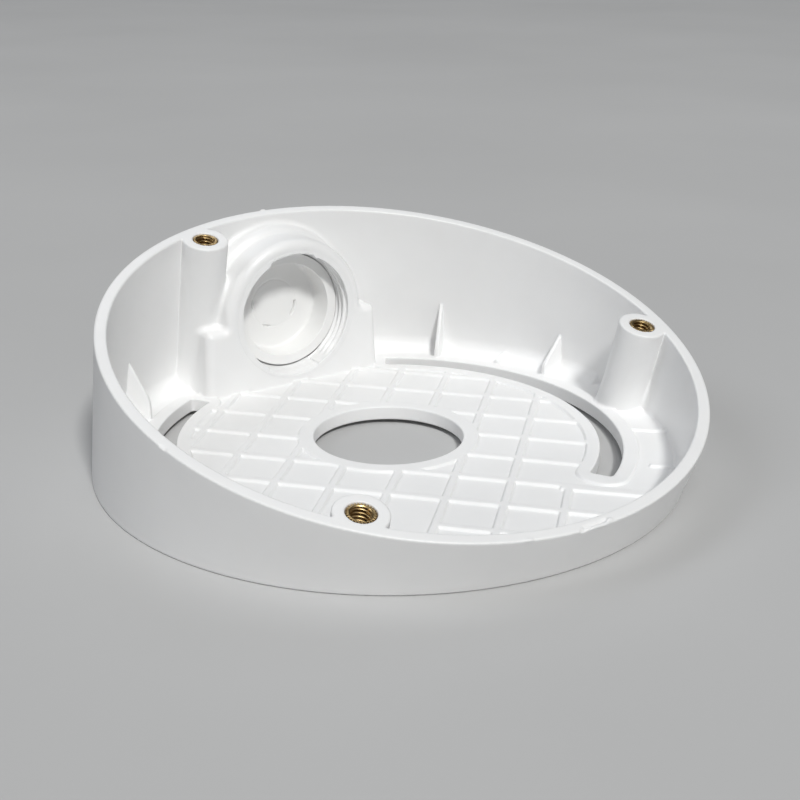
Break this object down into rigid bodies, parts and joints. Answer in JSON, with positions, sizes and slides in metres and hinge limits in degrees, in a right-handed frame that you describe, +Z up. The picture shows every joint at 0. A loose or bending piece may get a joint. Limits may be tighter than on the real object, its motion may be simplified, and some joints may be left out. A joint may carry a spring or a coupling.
{
  "type": "camera mount base",
  "caption": "Round wedge-shaped mounting base for a small camera, with a ribbed floor, curved wall slots, threaded bosses and a plugged side conduit entry.",
  "frame": {"origin": "middle of the bounding box, on the flat plane that the foot ring stands on", "axes": "+Z up out of the bowl, +Y towards the high side with the conduit entry, X across; the rim plane rises 15 degrees towards +Y"},
  "size_m": [0.11, 0.1144, 0.0378],
  "materials": {
    "white_moulded_plastic": "satin, fine moulded texture",
    "plug_white_plastic": "satin",
    "insert_brass": "machined"
  },
  "bodies": {
    "base": {"base_shell": "white_moulded_plastic", "insert_back_left": "insert_brass", "insert_right": "insert_brass", "insert_front_left": "insert_brass"},
    "plug": {"port_plug": "plug_white_plastic"}
  },
  "joints": [
    {"name": "port_plug_unscrew", "type": "slide", "parent": "base", "child": "plug", "axis": [0, 1, 0], "range_m": [0, 0.016]}
  ]
}
